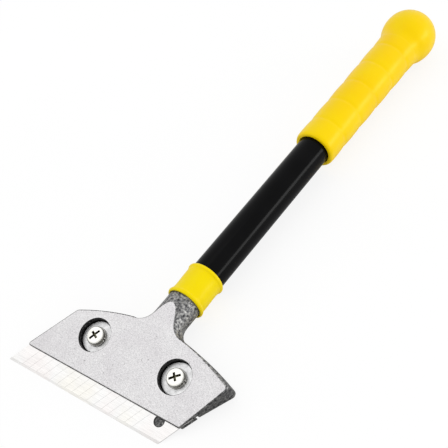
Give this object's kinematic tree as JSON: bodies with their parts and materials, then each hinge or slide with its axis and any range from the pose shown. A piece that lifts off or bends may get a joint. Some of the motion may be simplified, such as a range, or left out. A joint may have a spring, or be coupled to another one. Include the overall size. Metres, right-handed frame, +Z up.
{
  "type": "hand scraper",
  "caption": "Hand scraper for flooring work: cast head clamping a slanted replaceable blade, tubular handle and ball-ended grip.",
  "frame": {"origin": "under the middle of the tool, on the surface that it lies on, on its cutting edge and its ball end", "axes": "+X along the cutting edge, +Y from the cutting edge to the ball end, +Z up, away from the surface; the screws face up"},
  "size_m": [0.1176, 0.3134, 0.0324],
  "materials": {
    "cast_aluminium": "fine sand-blasted casting",
    "clamp_aluminium": "casting",
    "blade_steel": "ground and polished",
    "screw_steel": "bright plated",
    "zinc": "zinc plated",
    "black_steel": "blackened spring steel",
    "black_paint": "gloss black",
    "yellow_plastic": "moulded, semi-gloss"
  },
  "bodies": {
    "handle_and_head": {"head_casting": "cast_aluminium", "handle_tube": "black_paint", "joint_pin": "zinc", "collar": "yellow_plastic", "grip": "yellow_plastic"},
    "left_screw": {"screw_left": "screw_steel", "split_washer_left": "black_steel", "flat_washer_left": "zinc"},
    "right_screw": {"screw_right": "screw_steel", "split_washer_right": "black_steel", "flat_washer_right": "zinc"},
    "clamp": {"clamp_plate": "clamp_aluminium"},
    "blade": {"blade": "blade_steel"}
  },
  "joints": [
    {"name": "clamp_open", "type": "slide", "parent": "handle_and_head", "child": "clamp", "axis": [0, 0.3147, -0.9492], "range_m": [0, 0.0016]},
    {"name": "left_screw_turn", "type": "hinge", "parent": "handle_and_head", "child": "left_screw", "pos_m": [-0.02015, -0.12789, 0.01129], "axis": [0, -0.3147, 0.9492], "range_deg": [0, 720]},
    {"name": "right_screw_turn", "type": "hinge", "parent": "handle_and_head", "child": "right_screw", "pos_m": [0.03165, -0.12789, 0.01129], "axis": [0, -0.3147, 0.9492], "range_deg": [0, 720]},
    {"name": "blade_out", "type": "slide", "parent": "handle_and_head", "child": "blade", "axis": [0, -0.9492, -0.3147], "range_m": [0, 0.005]}
  ],
  "couplings": [
    {"joint": "left_screw_turn", "follows": "clamp_open", "rad_per_m": 7854},
    {"joint": "right_screw_turn", "follows": "clamp_open", "rad_per_m": 7854}
  ]
}
